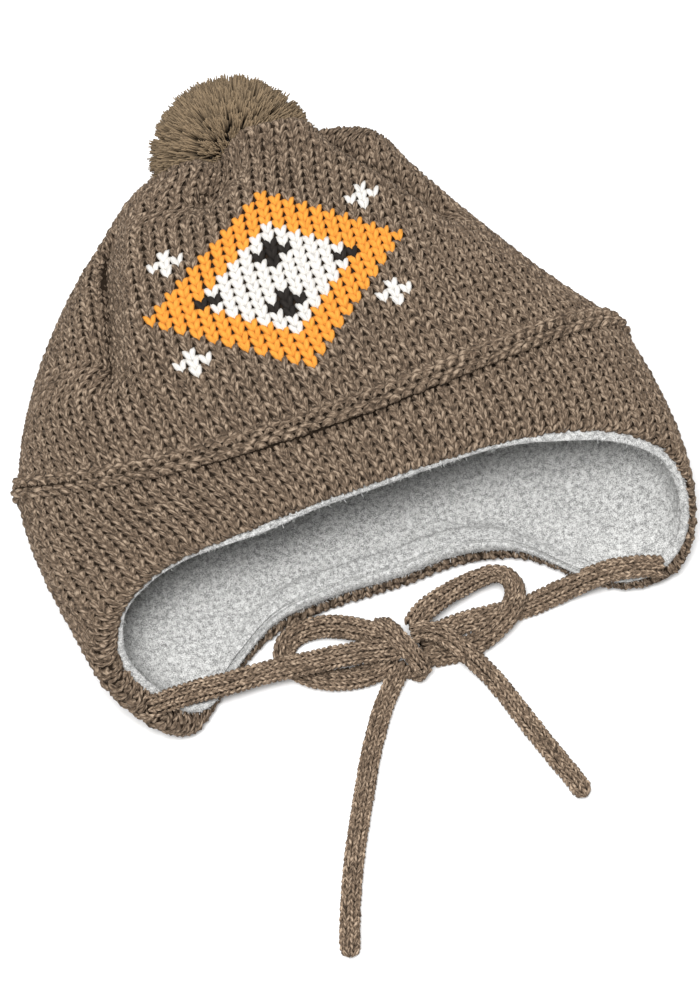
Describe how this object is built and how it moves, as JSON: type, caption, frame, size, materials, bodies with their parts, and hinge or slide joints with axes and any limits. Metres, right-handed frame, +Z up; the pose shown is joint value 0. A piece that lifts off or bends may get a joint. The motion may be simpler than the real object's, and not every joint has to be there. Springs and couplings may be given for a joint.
{
  "type": "pom-pom knit earflap hat",
  "caption": "Baby's knitted earflap hat with a pompom, a raised purl ridge, a fleece lining and two ties in a bow, lying on its back.",
  "frame": {"origin": "middle of the footprint, on the surface the hat lies on, the ties left out", "axes": "+Z up from the surface, +Y up the hat towards the pompom, so the face opening looks to -Y, and +X across the hat"},
  "size_m": [0.2226, 0.3068, 0.0742],
  "materials": {
    "marl_knit": "stockinette knit of taupe-brown marl yarn, matt",
    "fleece": "brushed light grey melange fleece, matt",
    "pompom_yarn": "cut ends of taupe-brown marl yarn",
    "tie_knit": "fine knitted tape of the same marl yarn"
  },
  "bodies": {
    "root": {"crown": "marl_knit", "ridge": "marl_knit", "band": "marl_knit", "lining": "fleece", "pompom": "pompom_yarn", "bow_knot": "tie_knit", "tie_left": "tie_knit", "tie_right": "tie_knit", "loop_left": "tie_knit", "loop_right": "tie_knit", "tail_left": "tie_knit", "tail_right": "tie_knit"}
  },
  "joints": []
}
